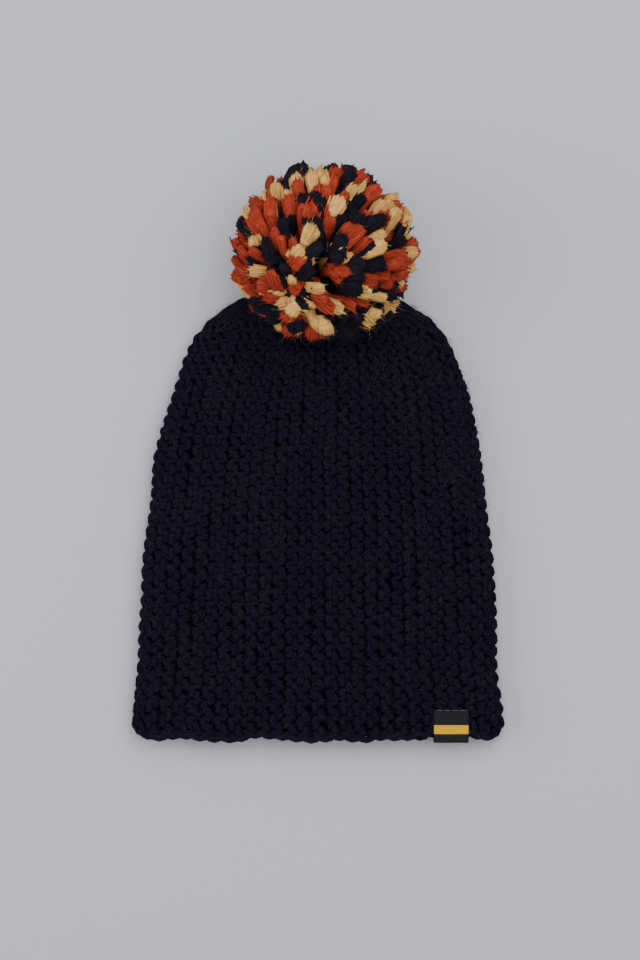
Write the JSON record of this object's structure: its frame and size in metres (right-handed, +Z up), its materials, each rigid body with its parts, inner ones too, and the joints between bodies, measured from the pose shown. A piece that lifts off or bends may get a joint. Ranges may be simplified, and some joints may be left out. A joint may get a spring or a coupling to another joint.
{
  "type": "bobble hat",
  "caption": "Chunky garter-knit beanie in very dark navy, lying flat, with a large pompom in rust, cream and navy yarn and a small woven label folded over the hem.",
  "frame": {"origin": "on the surface that the hat lies on, under the middle of the crown's flat underside", "axes": "+Y from the hem towards the pompom, +Z up from the surface, +X to the right seen from above with the pompom at the top"},
  "size_m": [0.229, 0.3584, 0.1138],
  "materials": {
    "knit": "matte",
    "pompom_yarn": "matte",
    "tie_cord": "matte",
    "woven_label": "satin"
  },
  "bodies": {
    "root": {"crown": "knit", "pompom": "pompom_yarn", "pompom_tie": "tie_cord", "label": "woven_label"}
  },
  "joints": []
}
